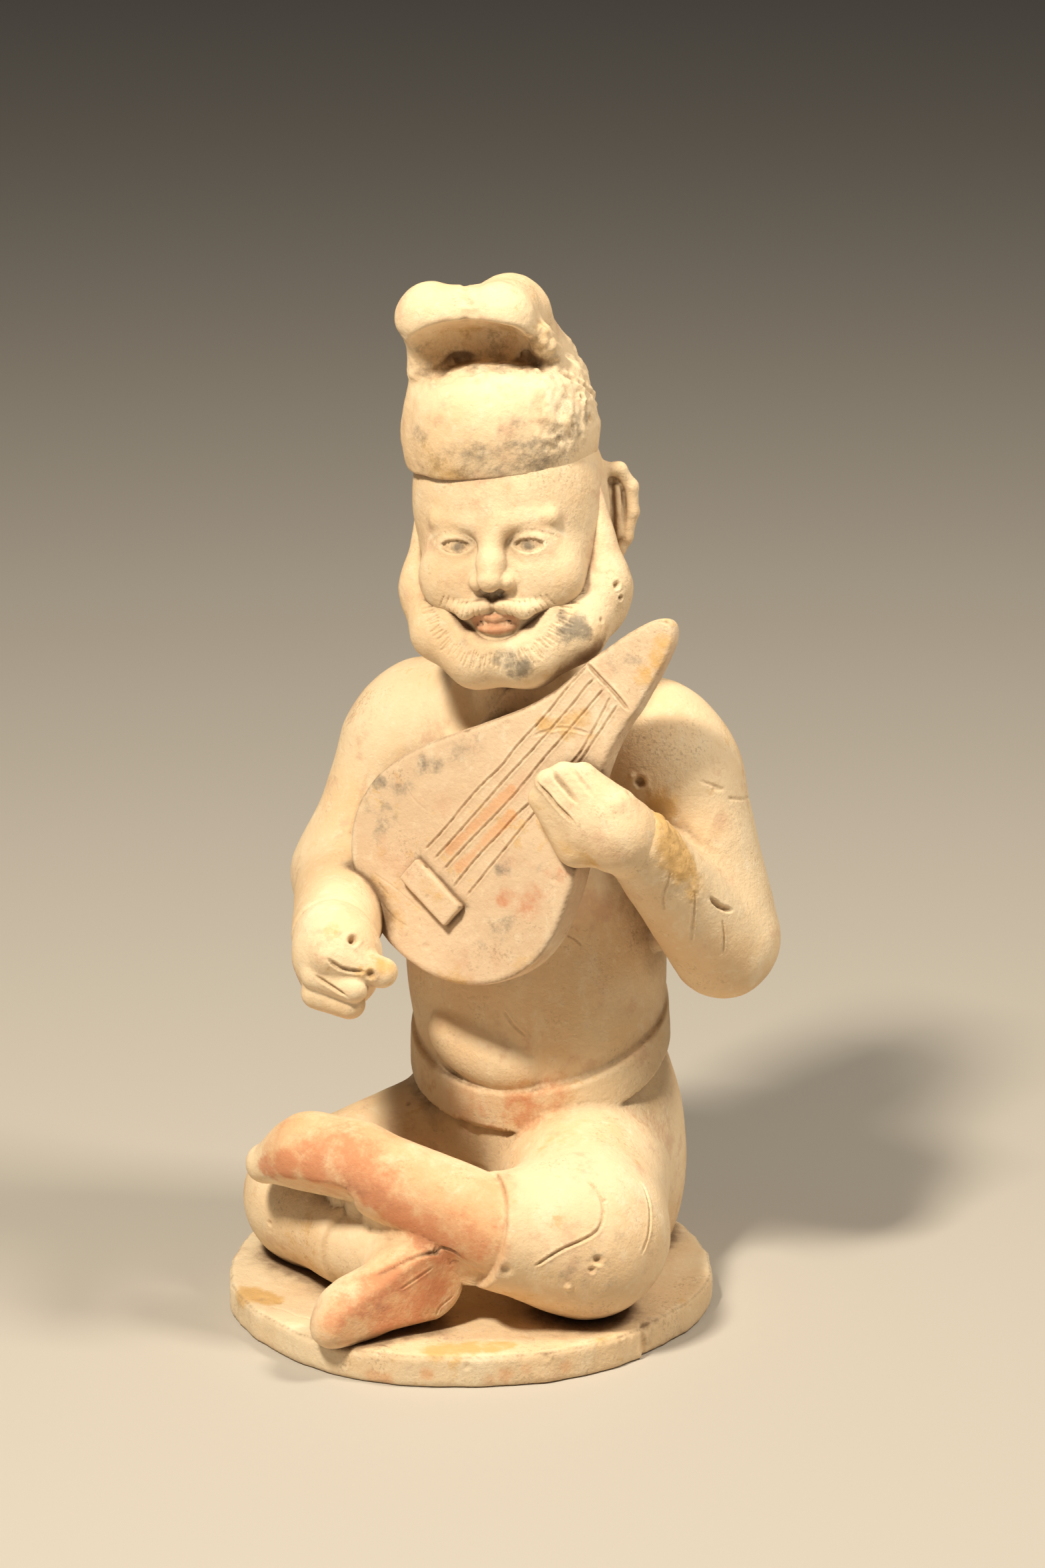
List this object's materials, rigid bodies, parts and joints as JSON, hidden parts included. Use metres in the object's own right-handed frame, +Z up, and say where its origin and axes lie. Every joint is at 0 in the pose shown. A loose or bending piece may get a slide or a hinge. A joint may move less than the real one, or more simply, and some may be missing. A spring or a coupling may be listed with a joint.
{
  "type": "musician figure",
  "caption": "Seated cross-legged clay musician in a knotted headcloth, playing a pear-shaped lute on a round slab.",
  "frame": {"origin": "centre of the round slab's underside", "axes": "+Z up through the figure; the figure's front faces -Y, so its left hand is on the +X side"},
  "size_m": [0.127, 0.1223, 0.2479],
  "materials": {
    "cream_slip_clay": "matte",
    "lute_clay": "matte",
    "slab_clay": "matte"
  },
  "bodies": {
    "root": {"musician": "cream_slip_clay", "lute": "lute_clay", "base_slab": "slab_clay"}
  },
  "joints": []
}
